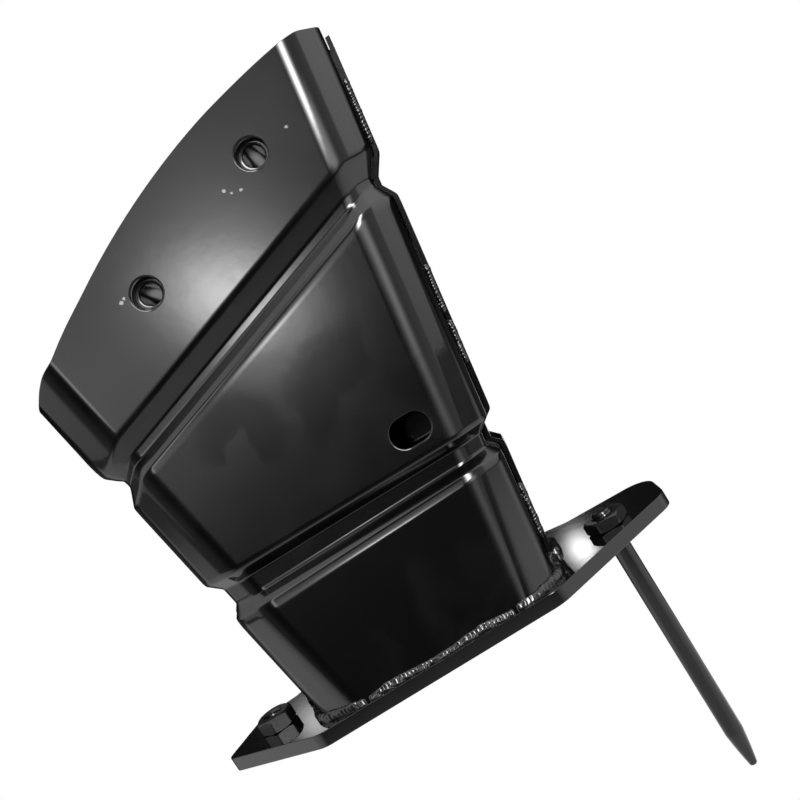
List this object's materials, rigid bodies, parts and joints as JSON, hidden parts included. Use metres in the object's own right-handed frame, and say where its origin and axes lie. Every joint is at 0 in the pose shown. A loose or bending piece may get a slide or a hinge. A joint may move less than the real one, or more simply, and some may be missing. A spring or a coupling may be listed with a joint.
{
  "type": "bumper crush box mounting bracket",
  "caption": "Flared sheet-steel crush box with two pressed beads, welded on an eared base plate with a long guide pin; carries a bumper beam and folds up in a crash.",
  "frame": {"origin": "on the mounting face, the underside of the base plate, below the middle of the box", "axes": "+Z is the plate normal, towards the open end of the box; +X runs along the plate towards the ear with the guide pin; the front face of the box looks towards -Y"},
  "size_m": [0.2032, 0.1166, 0.3478],
  "materials": {
    "shell_paint": "gloss black coating",
    "plate_paint": "gloss black coating",
    "pin_finish": "gloss black coating, turned",
    "nut_finish": "gloss black coating",
    "sleeve_paint": "thin black coating",
    "weld_paint": "gloss black coating over weld bead"
  },
  "bodies": {
    "root": {"front_shell": "shell_paint", "rear_shell": "shell_paint", "base_plate": "plate_paint", "guide_pin": "pin_finish", "ear_nut_left": "nut_finish", "ear_nut_right": "nut_finish", "sleeve_left": "sleeve_paint", "sleeve_right": "sleeve_paint", "base_weld_front": "weld_paint", "base_weld_corner_left": "weld_paint", "base_weld_corner_right": "weld_paint", "base_weld_side_left": "weld_paint", "base_weld_side_right": "weld_paint", "base_weld_rear": "weld_paint", "seam_weld_left": "weld_paint", "seam_weld_right": "weld_paint"}
  },
  "joints": []
}
